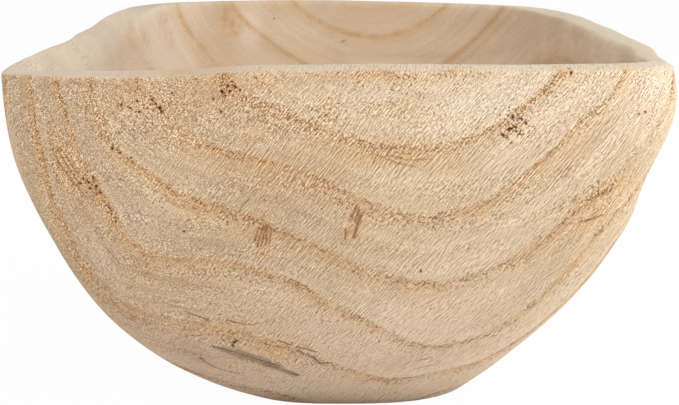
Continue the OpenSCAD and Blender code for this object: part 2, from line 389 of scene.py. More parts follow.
def ring_stretches(skin):
    """Stretch of each ring by the angle, along its course and beyond."""
    tables = []
    for radius, course in zip(RING_RADII, RING_COURSES):
        away, angle, kept = from_pith(np.array([on_skin(skin, *pixel) for pixel in course]))
        order = np.argsort(angle)
        stretch = 1 + (away[order] / radius - 1) / kept[order]
        table = np.interp(RING_ANGLES, angle[order], stretch)
        if tables:
            inner = tables[-1]
            held = np.interp(np.clip(RING_ANGLES, angle.min(), angle.max()), RING_ANGLES, inner)
            table = table * inner / held
        padded = np.pad(table, len(RING_SMOOTHING) // 2, mode="edge")
        tables.append(np.convolve(padded, RING_SMOOTHING, mode="valid"))
    return tables


def ring_place(points, stretches):
    """Rings counted outwards, where a whole number is a ring's edge, and the way round."""
    radius, angle, kept = from_pith(points)
    edges = [np.zeros_like(radius)]
    for ring_radius, table in zip(RING_RADII, stretches):
        edges.append(ring_radius * (1 + kept * (np.interp(angle, RING_ANGLES, table) - 1)))
    number = CORE_RINGS * radius / edges[1]
    for k in range(1, len(RING_RADII)):
        share = (radius - edges[k]) / (edges[k + 1] - edges[k])
        number = np.where(radius > edges[k], CORE_RINGS + k - 1 + share, number)
    return number, angle * ROUND_WAY


def on_skin(skin, px, py):
    """The point of the smooth skin that a pixel of the photograph shows."""
    forward = Vector((0, math.cos(CAMERA_PITCH), -math.sin(CAMERA_PITCH)))
    up = Vector((0, math.sin(CAMERA_PITCH), math.cos(CAMERA_PITCH)))
    across = (px - PHOTO_WIDTH / 2) / FOCAL_PIXELS
    rise = (PHOTO_HEIGHT / 2 - py) / FOCAL_PIXELS
    ray = forward + Vector((1, 0, 0)) * across + up * rise
    found = skin.ray_cast(CAMERA_PLACE, ray.normalized())[0]
    if found is None:
        raise ValueError(f"pixel {px}, {py} misses the bowl")
    return np.array(found)


def line_distance(points, start, end):
    """Distance of each point from the line between start and end."""
    along = end - start
    t = np.clip((points - start) @ along / (along @ along), 0, 1)
    return np.linalg.norm(points - start - t[:, None] * along, axis=1)


# Marks of the photographed end, in pixels of the photograph, with radii in millimetres
# Open pores and torn holes by their radius: place, extent across and down
PITS = {
    0.35: [(139, 112, 1, 0), (156, 104, 0, 1), (172, 93, 1, 1), (232, 82, 1, 0), (213, 99, 1, 0),
        (221, 112, 0, 1), (113, 145, 0, 1), (131, 158, 1, 0), (519, 134, 2, -1), (511, 143, 1, 0),
        (342, 42, 1, 0), (407, 21, 0, 1)],
    0.4: [(130, 108, 1, 0), (137, 101, 0, 1), (235, 87, 1, 1), (240, 90, 0, 1), (225, 96, 1, 0),
        (230, 91, 1, 0), (83, 179, 0, 1), (513, 117, 0, 2), (521, 119, 3, 1), (526, 123, 1, 2),
        (515, 127, 2, 1), (516, 131, 1, 1), (507, 138, 1, 0), (645, 112, 1, 1), (639, 114, 1, 0),
        (274, 19, 1, 0)],
    0.45: [(121, 105, 0, 1), (152, 100, 1, 1), (161, 112, 0, 1), (228, 86, 1, 1), (120, 153, 1, 0),
        (184, 231, 1, 0), (421, 272, 0, 1)],
    0.5: [(112, 149, 0, 1), (88, 183, 1, 0), (93, 178, 1, 1), (90, 189, 1, 0), (100, 193, 1, 1),
        (503, 135, 2, 2)],
    0.55: [(160, 108, 0, 2), (510, 129, 4, -1)],
    0.6: [(222, 92, 1, 2), (80, 184, 1, 0), (96, 187, 0, 1), (569, 69, 0, 1), (571, 73, 0, 1),
        (233, 345, 1, 2)],
    0.8: [(235, 341, 4, -2)],
    0.9: [(201, 359, 2, 0)],
}
# Cracks and knife scratches: their course, radius
CRACKS = [
    ([(279, 340), (291, 345)], 0.5), ([(297, 347), (307, 349), (316, 352)], 0.65),
    ([(316, 363), (330, 363)], 0.65), ([(201, 360), (215, 368), (228, 372), (239, 374)], 0.55),
    ([(254, 370), (265, 372)], 0.4), ([(185, 311), (199, 316), (209, 319)], 0.4),
    ([(228, 319), (246, 324)], 0.4), ([(415, 369), (441, 362)], 0.3), ([(417, 361), (432, 357)], 0.3),
    ([(384, 384), (402, 385)], 0.25), ([(241, 208), (249, 199)], 0.2), ([(304, 241), (323, 212)], 0.1),
    ([(354, 248), (377, 223)], 0.1),
]
# Scorched stripes of the cutter: their course, radius
BURNS = [
    ([(52, 151), (63, 169), (74, 186)], 0.3), ([(56, 148), (67, 166), (77, 181)], 0.32),
    ([(60, 147), (71, 165), (79, 177)], 0.28), ([(70, 178), (80, 191), (88, 199)], 0.3),
    ([(586, 201), (604, 193), (616, 186)], 0.3), ([(590, 198), (606, 190)], 0.26),
    ([(579, 222), (592, 218), (602, 215)], 0.38), ([(584, 221), (596, 219)], 0.28),
    ([(372, 153), (396, 163), (416, 167)], 0.24), ([(388, 156), (410, 160), (430, 159)], 0.22),
    ([(259, 227), (254, 242)], 0.4), ([(263, 226), (257, 247)], 0.4), ([(266, 226), (261, 246)], 0.4),
    ([(268, 226), (266, 244)], 0.4), ([(271, 230), (269, 244)], 0.35), ([(356, 207), (350, 221)], 0.4),
    ([(359, 210), (355, 223)], 0.45), ([(360, 217), (354, 238)], 0.6), ([(346, 229), (345, 240)], 0.4),
]
# Grey stain: its course, radius
STAINS = [
    ([(214, 346), (230, 349)], 1), ([(226, 349), (254, 358)], 2.4),
    ([(236, 352), (262, 361), (274, 366)], 3.1), ([(268, 364), (296, 375)], 1.6),
    ([(297, 350), (313, 357), (322, 364)], 0.8),
]
# Soft brown patches: centre, half width, half height, strength
SMUDGES = [
    (103, 133, 9, 16, 0.6), (254, 142, 12, 9, 0.75), (84, 217, 8, 14, 0.5), (195, 102, 62, 26, 0.3),
    (318, 178, 22, 12, 0.4), (263, 233, 10, 14, 0.55), (357, 212, 8, 13, 0.7), (350, 229, 8, 12, 0.55),
    (225, 13, 7, 8, 1.3), (230, 22, 7, 8, 1.4), (236, 31, 5, 6, 1.4), (145, 40, 4, 4, 0.8),
    (164, 22, 5, 9, 0.8), (170, 38, 4, 9, 0.7), (585, 208, 9, 4, 0.5), (128, 288, 24, 12, 0.3),
    (342, 75, 26, 4, 0.6), (285, 168, 42, 30, 0.5), (110, 84, 55, 6, 0.3),
]
# Golden open-pored patches, likewise
GOLDS = [
    (602, 194, 18, 10, 1), (592, 218, 14, 7, 1), (398, 154, 46, 10, 1), (66, 168, 12, 22, 0.8),
    (352, 143, 16, 6, 0.7), (327, 114, 13, 11, 0.4), (398, 110, 34, 7, 0.45), (262, 82, 15, 8, 0.5),
    (359, 79, 9, 8, 0.5), (425, 79, 32, 6, 0.4), (263, 237, 11, 14, 0.7), (355, 222, 9, 16, 0.5),
    (150, 104, 40, 12, 0.35), (230, 330, 34, 12, 0.4), (277, 351, 28, 12, 0.5), (87, 184, 11, 9, 0.6),
    (514, 128, 14, 12, 0.5), (264, 254, 8, 7, 0.5),
]
# Torn grain on the sanded inside, likewise
TEARS = [(85, 56, 26, 9, 0.8), (30, 67, 16, 5, 0.6)]
# Pale areas, partly paler wood and partly painted light, likewise
PALE_AND_PAINTED_LIGHT_PATCHES = [
    (652, 84, 16, 14, 0.45), (445, 86, 50, 10, 0.5), (378, 92, 40, 12, 0.4), (290, 30, 28, 16, 0.18),
    (555, 88, 50, 10, 0.25), (520, 116, 16, 12, 0.55), (150, 112, 12, 14, 0.2), (250, 108, 14, 9, 0.2),
    (275, 288, 38, 24, 0.26), (335, 322, 34, 12, 0.2), (425, 226, 44, 8, 0.2), (280, 390, 45, 4, 0.5),
    (577, 192, 22, 12, 0.25), (500, 190, 16, 22, 0.15), (250, 26, 12, 20, 0.5), (103, 258, 8, 24, 0.22),
    (490, 100, 120, 22, 0.38), (615, 96, 40, 20, 0.34), (400, 336, 70, 26, 0.26), (425, 376, 40, 10, 0.36),
    (145, 212, 30, 26, 0.2),
]
# Dusky areas, partly darker wood and partly painted shade, likewise
DUSK_AND_PAINTED_SHADE_PATCHES = [
    (190, 352, 35, 10, 0.35), (130, 314, 20, 8, 0.3), (525, 300, 20, 22, 0.25), (88, 150, 10, 26, 0.2),
    (320, 205, 34, 16, 0.2), (400, 362, 20, 6, 0.2), (470, 165, 16, 12, 0.12), (420, 56, 90, 6, 0.3),
    (475, 22, 30, 18, 0.22), (110, 84, 58, 6, 0.22), (632, 160, 12, 22, 0.2), (365, 300, 18, 8, 0.2),
    (566, 234, 10, 10, 0.2), (255, 142, 12, 9, 0.15), (300, 182, 56, 32, 0.14), (185, 342, 42, 14, 0.2),
    (60, 88, 45, 16, 0.12),
]
# Stretches where a ring's edge hardly shows, likewise
FAINT = [
    (145, 92, 16, 18, 0.8), (175, 122, 20, 18, 0.7), (97, 105, 10, 28, 0.8), (114, 148, 12, 12, 0.5),
    (180, 256, 48, 10, 0.65), (78, 248, 12, 18, 0.5), (115, 293, 20, 10, 0.6), (180, 318, 60, 12, 0.7),
    (325, 360, 60, 12, 0.5), (430, 370, 30, 8, 0.5), (645, 140, 14, 40, 0.6), (604, 222, 12, 18, 0.4),
    (345, 306, 40, 12, 0.4), (470, 338, 40, 12, 0.4), (378, 273, 45, 10, 0.4), (245, 382, 40, 5, 0.95),
    (300, 390, 45, 5, 0.95), (430, 82, 45, 10, 0.85), (550, 88, 12, 14, 0.4), (455, 281, 30, 8, 0.4),
    (285, 277, 25, 8, 0.4), (410, 342, 30, 8, 0.4), (140, 46, 12, 10, 0.8),
]
# Knife-hatched areas, likewise
HATCHES = [
    (340, 112, 100, 40, 1), (250, 190, 70, 50, 0.8), (330, 245, 70, 45, 0.9), (600, 110, 45, 35, 0.6),
    (480, 120, 60, 30, 0.6),
]
# Soft patches, by the name of their value on the mesh
PATCHES = {
    "smudge": SMUDGES, "gold": GOLDS, "hatch": HATCHES, "torn": TEARS, "faint": FAINT, "pale": PALE_AND_PAINTED_LIGHT_PATCHES,
    "dusk": DUSK_AND_PAINTED_SHADE_PATCHES,
}
# How fast a soft patch falls off, and within what depth
PATCH_FALL = 0.9
PATCH_DEPTH = 25 * MM
# Fine marks: courses, drawn share of the written radius, and softness of the edges
PIT_COURSES = [
    ([(x - u / 2, y - v / 2), (x + u / 2, y + v / 2)], radius)
    for radius, pits in PITS.items() for x, y, u, v in pits
]
FINE_MARKS = [
    ("pit", PIT_COURSES, 0.68, 0.5), ("halo", PIT_COURSES, 0.68, 2.2),
    ("crack", CRACKS, 0.8, 0.7), ("burn", BURNS, 1, 0.7), ("stain", STAINS, 1, 0.6),
]
# Depth of the holes and softness of their walls
HOLES = [("pit", 0.8 * MM, 0.6), ("crack", 0.6 * MM, 0.8)]
# Cuts of the skin's edges on the fine marks, and the margin beside these
MARK_CUTS = 5
MARK_MARGIN = 1.3 * MM


class Marks:
    """The marks of the photograph, placed on the bowl's skin."""

    def __init__(self, skin):
        self.skin = skin
        self.courses = {}
        for name, marks, share, _ in FINE_MARKS:
            self.courses[name] = [self.course(*mark, share) for mark in marks]
        self.patches = {name: [self.patch(*mark) for mark in marks] for name, marks in PATCHES.items()}

    def course(self, pixels, radius, share):
        """Places on the skin, and radius, of a course of pixels."""
        return [on_skin(self.skin, *pixel) for pixel in pixels], radius * share * MM

    def patch(self, px, py, half_width, half_height, strength):
        """Middle, half width, half height and strength of a patch on the skin."""
        middle = on_skin(self.skin, px, py)
        across = on_skin(self.skin, px + half_width, py) - middle
        down = on_skin(self.skin, px, py + half_height) - middle
        return middle, across, down, strength

    def near_fine_marks(self, points):
        """Which points lie on or beside a pit, crack, burn or stain."""
        close = np.zeros(len(points), bool)
        for places, radius in sum(self.courses.values(), []):
            for start, end in zip(places, places[1:]):
                close |= line_distance(points, start, end) < radius + MARK_MARGIN
        return close

    def drawn(self, points, name, softness):
        """Strength from 0 to 1 of one kind of fine mark at each point."""
        strength = np.zeros(len(points))
        for places, radius in self.courses[name]:
            inner = radius * (1 - softness)
            outer = radius * (1 + softness)
            for start, end in zip(places, places[1:]):
                distance = line_distance(points, start, end)
                strength = np.maximum(strength, 1 - smooth_step(inner, outer, distance))
        return strength

    def spread(self, points, name):
        """Strength of one kind of soft patch at each point."""
        strength = np.zeros(len(points))
        for middle, across, down, full in self.patches[name]:
            offset = points - middle
            u = offset @ across / (across @ across)
            v = offset @ down / (down @ down)
            out = np.cross(across, down)
            w = offset @ out / (np.linalg.norm(out) * PATCH_DEPTH)
            strength = np.maximum(strength, full * np.exp(-(u * u + v * v + w * w) * PATCH_FALL))
        return strength


# Moves the noise apart for each seed
NOISE_SHIFT = Vector((17.3, 9.1, 5.7))


def solid_noise(points, size, seed):
    """Smooth noise from -1 to 1 with features of about that size."""
    offset = NOISE_SHIFT * seed
    return np.array([noise.noise(Vector(p) + offset) for p in (points / size).tolist()])


# Waves of hand carving: size, height and seed
CARVED_WAVES = [(55 * MM, 0.7 * MM, 1), (16 * MM, 0.16 * MM, 2)]
# Heights between which they begin, so that the foot stays flat
FOOT_EASE = (0.5 * MM, 14 * MM)


def carve(points, normals, marks):
    """The skin with the waves of hand carving and the holes."""
    waves = sum(height * solid_noise(points, size, seed) for size, height, seed in CARVED_WAVES)
    lift = waves * smooth_step(*FOOT_EASE, points[:, 2])
    for name, depth, softness in HOLES:
        lift -= depth * marks.drawn(points, name, softness)
    return points + normals * lift[:, None]


class Graph:
    """Short names for the nodes of a material or of the world."""

    def __init__(self, owner):
        owner.use_nodes = True
        self.tree = owner.node_tree
        self.tree.nodes.clear()

    def add(self, kind, inputs, **settings):
        made = self.tree.nodes.new("ShaderNode" + kind)
        for name, value in settings.items():
            setattr(made, name, value)
        for name, value in inputs.items():
            socket = made.inputs[name]
            if isinstance(value, bpy.types.NodeSocket):
                self.tree.links.new(value, socket)
            else:
                socket.default_value = value
        return made

    def math(self, operation, *values, kind="Math"):
        return self.add(kind, dict(enumerate(values)), operation=operation).outputs[0]

    def chain(self, operation, values):
        """One operation over all values, from the first to the last."""
        result = values[0]
        for value in values[1:]:
            result = self.math(operation, result, value)
        return result

    def plus(self, *values):
        return self.chain("ADD", values)

    def times(self, *values):
        return self.chain("MULTIPLY", values)

    def most(self, *values):
        return self.chain("MAXIMUM", values)

    def shares(self, values, shares):
        """Each value times its share."""
        return [self.times(value, share) for value, share in zip(values, shares)]

    def rest(self, share):
        """What a share leaves of 1."""
        return self.math("SUBTRACT", 1, share)

    def centred(self, pattern):
        """A pattern from 0 to 1 as one from -0.5 to 0.5."""
        return self.math("SUBTRACT", pattern, 0.5)

    def scaled(self, place, scales):
        return self.math("MULTIPLY", place, scales, kind="VectorMath")

    def attribute(self, name):
        return self.add("Attribute", {}, attribute_name=name).outputs["Fac"]

    def noise(self, place, scale, detail, roughness=0.5):
        inputs = {"Vector": place, "Scale": scale, "Detail": detail, "Roughness": roughness}
        return self.add("TexNoise", inputs).outputs["Fac"]

    def ripple(self, place, scales):
        """Short waves across the strokes, with nothing slower in them."""
        place = self.scaled(place, scales)
        moved = self.math("ADD", place, STROKE_SHIFT, kind="VectorMath")
        return self.math("SUBTRACT", self.noise(place, 1, 0), self.noise(moved, 1, 0))

    def remap(self, value, span, shares=(0, 1)):
        """The shares at both ends of a span of the value, eased between them."""
        inputs = dict(enumerate((value, *span, *shares)))
        return self.add("MapRange", inputs, interpolation_type="SMOOTHSTEP").outputs[0]

    def patchy(self, place, pattern):
        """A share that comes and goes with a noise."""
        settings, span, shares = pattern
        return self.remap(self.noise(place, *settings), span, shares)

    def ramp(self, value, stops):
        """A ramp of (place, grey or colour) stops."""
        made = self.add("ValToRGB", {"Fac": value})
        elements = made.color_ramp.elements
        while len(elements) < len(stops):
            elements.new(0.5)
        for element, (place, shade) in zip(elements, stops):
            element.position = place
            element.color = colour(shade) if isinstance(shade, tuple) else (shade, shade, shade, 1)
        return made.outputs["Color"]

    def mix(self, factor, low, high):
        """Value between low and high."""
        return self.add("Mix", {0: factor, 2: low, 3: high}).outputs[0]

    def blend(self, factor, low, high):
        """Colour between low and high."""
        shades = [colour(shade) if isinstance(shade, tuple) else shade for shade in (low, high)]
        made = self.add("Mix", {0: factor, 6: shades[0], 7: shades[1]}, data_type="RGBA")
        return made.outputs[2]


WHITE = (1, 1, 1, 1)
FULL_CHANNEL = 255


def colour(rgb):
    """An 8-bit screen colour as Blender's linear one."""
    screen = Color([channel / FULL_CHANNEL for channel in rgb])
    return (*screen.from_srgb_to_scene_linear(), 1)


# Colours of the wood, as they show on the screen
CREAM = (231, 210, 181)
TAN = (207, 178, 144)
BROWN = (180, 149, 116)
STRAW = (222, 194, 152)
ROSE = (202, 174, 151)
# Paler, greyer rim top: worn wood and painted light where the rim faces up
RIM_PALE_AND_LIGHT = (218, 203, 182)
LIGHT_FIBRE = (248, 229, 198)
DARK_FIBRE = (126, 94, 66)
RING_LINE = (180, 118, 60)
INNER_LINE = (180, 141, 92)
INNER_GREY = (206, 191, 172)
GOLD = (218, 162, 78)
SCORCH = (126, 74, 32)
STAIN = (98, 78, 66)
PORE = (104, 60, 26)
HOLE = (54, 22, 0)
HALO = (152, 92, 36)
PALE = (224, 208, 184)
# Rosy tone low down, paler than the wood: painted light on the shaded underside
LOW_ROSE_AND_PAINTED_LIGHT = (229, 206, 184)
# Pale colour of the inside's left wall: painted light
INNER_LEFT_PAINTED_LIGHT = (218, 212, 199)
# Colour of the pale patches: paler wood and painted light
PALE_AND_PAINTED_LIGHT_COLOUR = (238, 228, 212)
# Colour of the dusky patches: darker wood and painted shade
DUSK_AND_PAINTED_SHADE_COLOUR = (150, 122, 98)
# Main colours on the scale of the wood's tone, and where it begins
TONE_STOPS = [(0.2, BROWN), (0.5, TAN), (0.8, CREAM)]
TONE_SHIFT = 0.34
# Darkness of a ring's edge over a year's growth, on raw wood and inside
EDGE_STOPS = [(0, 1), (0.035, 0.85), (0.07, 0.52), (0.12, 0.28), (0.24, 0.1), (0.45, 0), (0.94, 0), (1, 1)]
INNER_STOPS = [(0, 1), (0.04, 0.75), (0.1, 0.3), (0.3, 0), (0.88, 0), (0.95, 0.4), (1, 1)]
# Openness of the pores over a year's growth
POROUS_STOPS = [(0, 1), (0.06, 0.9), (0.12, 0.5), (0.2, 0.18), (0.34, 0.05), (0.5, 0), (0.93, 0), (1, 1)]
# Paleness of the late wood before a ring's edge
LATE_STOPS = [(0, 0), (0.3, 0), (0.65, 0.08), (0.9, 0.16), (0.97, 0.16), (1, 0)]
# Spacing of the rings in millimetres
RING_SPACING = 28
# Scale along the log of the patterns and of the long fibres
ALONG_LOG = 0.06
ALONG_FIBRES = 0.02

# Noise: scale per millimetre, detail and roughness
WOBBLE = (0.03, 3, 0.55)
FINE_WOBBLE = (0.5, 2, 0.6)
CLOUDS = (0.014, 3, 0.55)
LONG_FIBRES = (0.15, 3, 0.6)
GRIT = (2.7, 0, 0.5)
# Noise along the rings: scales outwards, lengthwise and round, detail and roughness
BANDS = ((0.2, 0.3, 0.006), 1, 0.4)
LINES = ((1.6, 0.5, 0.04), 1, 0.6)
STROKES = ((2.2, 1, 0.16), 1, 0.5)
HUES = ((0.12, 0.3, 0.012), 3, 0.6)
FIBRE = ((2.8, 2, 1.2), 1, 0.6)
# Patchy shares: noise, the span of it that counts, and the shares at its ends
BREAKS = ((0.09, 3, 0.6), (0.3, 0.65), (0.35, 1))
GOLD_AREAS = ((0.04, 2, 0.5), (0.4, 0.65), (0.36, 0.66))
GOLD_BREAKS = ((0.45, 2, 0.5), (0.3, 0.6), (0.65, 1))
SMUDGE_BREAKS = ((0.3, 3, 0.6), (0.3, 0.7), (0.3, 0.8))
UNEVEN = ((0.1, 2, 0.5), (0.35, 0.65), (0.75, 1.1))
RAGGED = ((1.2, 2, 0.7), (0.25, 0.6), (0.32, 0.8))
# Knife strokes: slant, scales across, lengthwise and along, and the shift that keeps them narrow
SLANT = math.radians(-38)
RIPPLE = (2.8, 0.06, 0.34)
SCRATCHES = (1.9, 0.05, 0.12)
STROKE_SHIFT = (0.8, 0, 0)
# Cells of the end grain and pores, per millimetre, and a pore's soft edge
CELL_SCALE = 2.4
PORE_SCALE = 1.15
PORE_EDGE = (0.55, 0.3)

# Spans in millimetres over which a look changes, and the shares at their ends
NEAR_RIM = ((-165, -195), (0, 1))
RIM_TEAR = ((-70, -10), (0, 0.65))
# Span across over which the rim's paleness and painted light come in
RIM_PALE_AND_LIGHT_SPAN = ((-70, -10), (0.1, 0.75))
# Heights over which the rosy tone and the painted light on the underside come in
FOOT_ROSE_AND_PAINTED_LIGHT = ((75, 8), (0, 0.8))
# Span across over which the painted light on the inside's left comes in
INNER_LEFT_LIGHT_SPAN = ((-66, -98), (0, 0.35))
STEEP_WAY = ((20, 60), (0.35, 1))
FOOT_CONTRAST = ((15, 60), (0.8, 1))
CELL_SHARE = ((-80, -10), (0.26, 0.2))
RIPPLE_SHARE = ((-80, -10), (0.34, 0.85))
# Likewise for faces that look along the log, and for values of a pattern
END_GRAIN = ((0.1, 0.5), (0.6, 1))
STRAW_HUES = ((0.52, 0.72), (0, 0.5))
ROSE_HUES = ((0.46, 0.3), (0, 0.6))
INNER_BANDS = ((0.5, 0.68), (0, 0.32))
STAIN_STREAKS = ((0.35, 0.6), (0.255, 0.85))
DULLNESS = ((0.2, 0.8), (0.68, 0.88))

# How far sanding takes off roughness, streaks and colour
SANDING = 0.85
INNER_CALM = 0.5
INNER_GREYING = 0.4
# How far the rings' edges wander, in rings
WOBBLE_SHARE = 0.03
FINE_WOBBLE_SHARE = 0.045
# Shares in the tone of clouds, bands, lines, millimetres to the right (paler to the right, painted side
# light) and millimetres up
TONE_SHARES = (1.2, 0.6, 0.4, 0.003, -0.0012)
# How far the inside's left is painted paler, as painted light on that wall, and the long fibres' share on
# raw wood and inside
INNER_LEFT_LIGHT_SHARE = -0.15
LONG_FIBRE_SHARE = (0.1, 0.25)
# Strength of a ring's edge on raw wood and inside
LINE_STRENGTH = (0.5, 0.66)
# Contrast of the fine grain, and what porous and golden wood add to it
FIBRE_CONTRAST = 2.9
BUSY_SHARE = 0.35
GOLD_BUSY = 2
# Shares of grit, fibres and strokes, and how far the grain and the hatching lift and darken
GRAIN_SHARES = (1.2, 0.15, 0.35)
GRAIN_LIFT = (0.75, -0.85)
HATCH_LIFT = (0.55, -0.55)
# Share of open pores on a ring's edge, in a golden patch and in a porous band
OPEN_PORES = (0.95, 0.45, 0.1)
# Strength of pores, cracks and the brown round the pits
PORE_STRENGTH = 0.8
CRACK_STRENGTH = 0.85
HALO_STRENGTH = 0.85
# Relief of pores, fibres and cuts, and the wood's shine
RELIEF = (-0.6, 0.5, 0.5)
RELIEF_STRENGTH = 0.3
RELIEF_HEIGHT = 0.3 * MM
WOOD_SPECULAR = 0.25


class Wood:
    """The patterns and colours of the wood."""

    def __init__(self, g):
        self.g = g
        place = g.add("TexCoord", {}).outputs["Object"]
        self.space = g.scaled(place, (1 / MM, 1 / MM, 1 / MM))
        self.x, self.y, self.z = g.add("SeparateXYZ", {"Vector": self.space}).outputs
        self.grain = g.scaled(self.space, (1, ALONG_LOG, 1))
        self.slanted = g.add("Mapping", {"Vector": self.space, "Rotation": (0, SLANT, 0)}).outputs[0]
        self.finish = g.attribute("finish")
        self.rim = g.attribute("rim")
        self.gold_mark = g.attribute("gold")
        self.end_grain = g.remap(g.attribute("end_grain"), *END_GRAIN)
        self.rough = self.roughened()
        self.follow_rings()
        self.contrast = self.grain_contrast()
        self.colour = g.ramp(self.tone(), TONE_STOPS)

    def roughened(self):
        """1 on raw or torn wood and less on the sanded inside."""
        g = self.g
        torn_rim = g.times(self.rim, g.remap(self.y, *NEAR_RIM), g.remap(self.x, *RIM_TEAR))
        torn = g.most(g.attribute("torn"), torn_rim)
        return g.most(g.rest(g.times(self.finish, SANDING)), torn)

    def follow_rings(self):
        """Edges and pores of the rings, and the patterns that follow them."""
        g = self.g
        ring = g.attribute("ring")
        wobble = g.times(g.centred(g.noise(self.grain, *WOBBLE)), WOBBLE_SHARE)
        fine = g.times(g.centred(g.noise(self.grain, *FINE_WOBBLE)), self.rough, FINE_WOBBLE_SHARE)
        self.year = g.math("FRACT", g.plus(ring, wobble, fine))
        shown = g.rest(g.attribute("faint"))
        edge = g.mix(self.finish, g.ramp(self.year, EDGE_STOPS), g.ramp(self.year, INNER_STOPS))
        self.breaks = g.patchy(self.grain, BREAKS)
        self.line = g.times(edge, shown, self.breaks, g.rest(self.rim))
        self.porous = g.times(g.ramp(self.year, POROUS_STOPS), self.rough, shown)
        across = g.times(ring, RING_SPACING)
        way = g.times(g.attribute("way"), 1 / MM)
        lengthwise = g.times(self.y, ALONG_LOG)
        self.ring_space = g.add("CombineXYZ", {"X": across, "Y": lengthwise, "Z": way}).outputs[0]
        self.steep = g.remap(g.math("ABSOLUTE", way), *STEEP_WAY)
        self.bands, self.strokes, self.fibre = map(self.along_rings, (BANDS, STROKES, FIBRE))

    def along_rings(self, pattern):
        """A noise pattern that follows the rings."""
        scales, detail, roughness = pattern
        return self.g.noise(self.g.scaled(self.ring_space, scales), 1, detail, roughness)

    def grain_contrast(self):
        """Contrast of the fine grain, most where the wood is porous."""
        g = self.g
        busy = g.most(g.times(self.porous, self.breaks), g.times(self.gold_mark, GOLD_BUSY))
        contrast = g.plus(g.times(busy, BUSY_SHARE), g.patchy(self.grain, UNEVEN))
        return g.times(contrast, self.rough, g.remap(self.z, *FOOT_CONTRAST), self.end_grain)

    def tone(self):
        """Lightness of the wood."""
        g = self.g
        clouds = g.noise(self.space, *CLOUDS)
        calm = g.rest(g.times(self.finish, INNER_CALM))
        lines = g.times(g.centred(self.along_rings(LINES)), self.steep, calm)
        # Paler to the right outside and paler on the inside's left: painted side light
        painted_side_light = g.mix(self.finish, self.x, g.most(self.x, g.times(self.x, INNER_LEFT_LIGHT_SHARE)))
        fibres = g.centred(g.noise(g.scaled(self.space, (1, ALONG_FIBRES, 1)), *LONG_FIBRES))
        parts = (clouds, self.bands, lines, painted_side_light, self.z, fibres)
        shares = (*TONE_SHARES, g.mix(self.finish, *LONG_FIBRE_SHARE))
        return g.plus(*g.shares(parts, shares), -TONE_SHIFT)

    def paint(self, shade, *shares):
        """Lays a colour over the wood, by the product of its shares."""
        self.colour = self.g.blend(self.g.times(*shares), self.colour, shade)

    def two_tone(self, pattern, lifts):
        """Paints lighter fibres where the pattern is above 0, and darker ones below."""
        for lift, fibre in zip(lifts, (LIGHT_FIBRE, DARK_FIBRE)):
            self.paint(fibre, self.g.most(self.g.times(pattern, lift), 0))

    def bands_of_colour(self):
        """Hues along the rings, greyer on the inside, and pale late wood."""
        g = self.g
        hue = self.along_rings(HUES)
        self.paint(STRAW, g.remap(hue, *STRAW_HUES))
        self.paint(ROSE, g.remap(hue, *ROSE_HUES))
        self.paint(INNER_GREY, self.finish, INNER_GREYING)
        self.paint(INNER_LINE, g.remap(self.bands, *INNER_BANDS), self.finish)
        self.paint(PALE, g.ramp(self.year, LATE_STOPS), self.rough)

    def soft_areas_and_painted_light(self):
        """Rosy wood with painted light low down, painted light on the inside's left, pale patches with
        painted light, dusky ones with painted shade, and a paler rim with painted light.
        """
        g = self.g
        # Rosy tone and painted light on the shaded wood low down, outside only
        self.paint(LOW_ROSE_AND_PAINTED_LIGHT, g.remap(self.z, *FOOT_ROSE_AND_PAINTED_LIGHT), g.rest(self.finish))
        # Painted light on the inside's left wall
        self.paint(INNER_LEFT_PAINTED_LIGHT, self.finish, g.remap(self.x, *INNER_LEFT_LIGHT_SPAN))
        # Pale patches: paler wood and painted light
        self.paint(PALE_AND_PAINTED_LIGHT_COLOUR, g.attribute("pale"))
        # Dusky patches: darker wood and painted shade, as deep inside below the near rim
        self.paint(DUSK_AND_PAINTED_SHADE_COLOUR, g.attribute("dusk"))
        # Paler rim top: worn wood and painted light
        self.paint(RIM_PALE_AND_LIGHT, self.rim, g.remap(self.x, *RIM_PALE_AND_LIGHT_SPAN))

    def ring_colours(self):
        """Golden porous bands, brown ring edges and brown patches."""
        g = self.g
        golden = g.times(self.porous, g.patchy(self.space, GOLD_AREAS), self.end_grain)
        gold_patch = g.times(self.gold_mark, g.patchy(self.grain, GOLD_BREAKS))
        self.paint(GOLD, g.most(golden, gold_patch))
        line_colour = g.blend(self.finish, RING_LINE, INNER_LINE)
        self.paint(line_colour, self.line, g.mix(self.finish, *LINE_STRENGTH))
        self.paint(line_colour, g.attribute("smudge"), g.patchy(self.space, SMUDGE_BREAKS))

    def fine_grain(self):
        """Cells, slanting ripples, grit and fibres of the end grain."""
        g = self.g
        cells = g.add("TexVoronoi", {"Vector": self.grain, "Scale": CELL_SCALE}).outputs["Color"]
        cell = g.centred(g.add("SeparateColor", {"Color": cells}).outputs[0])
        grit = g.centred(g.noise(self.grain, *GRIT))
        stroke = g.times(g.centred(self.strokes), self.steep)
        parts = (cell, g.ripple(self.slanted, RIPPLE), grit, g.centred(self.fibre), stroke)
        shares = (g.remap(self.x, *CELL_SHARE), g.remap(self.x, *RIPPLE_SHARE), *GRAIN_SHARES)
        speckle = g.plus(*g.shares(parts, shares))
        self.two_tone(g.times(speckle, self.contrast, FIBRE_CONTRAST), GRAIN_LIFT)

    def open_pores(self):
        """Dark pores along the rings' edges and in the golden patches."""
        g = self.g
        dots = g.add("TexVoronoi", {"Vector": self.grain, "Scale": PORE_SCALE}).outputs
        chance = g.add("SeparateColor", {"Color": dots["Color"]}).outputs[1]
        places = (self.line, self.gold_mark, self.porous)
        chosen = g.math("LESS_THAN", chance, g.most(*g.shares(places, OPEN_PORES)))
        self.pores = g.times(g.remap(dots["Distance"], PORE_EDGE), chosen, self.rough)
        self.paint(PORE, self.pores, PORE_STRENGTH)

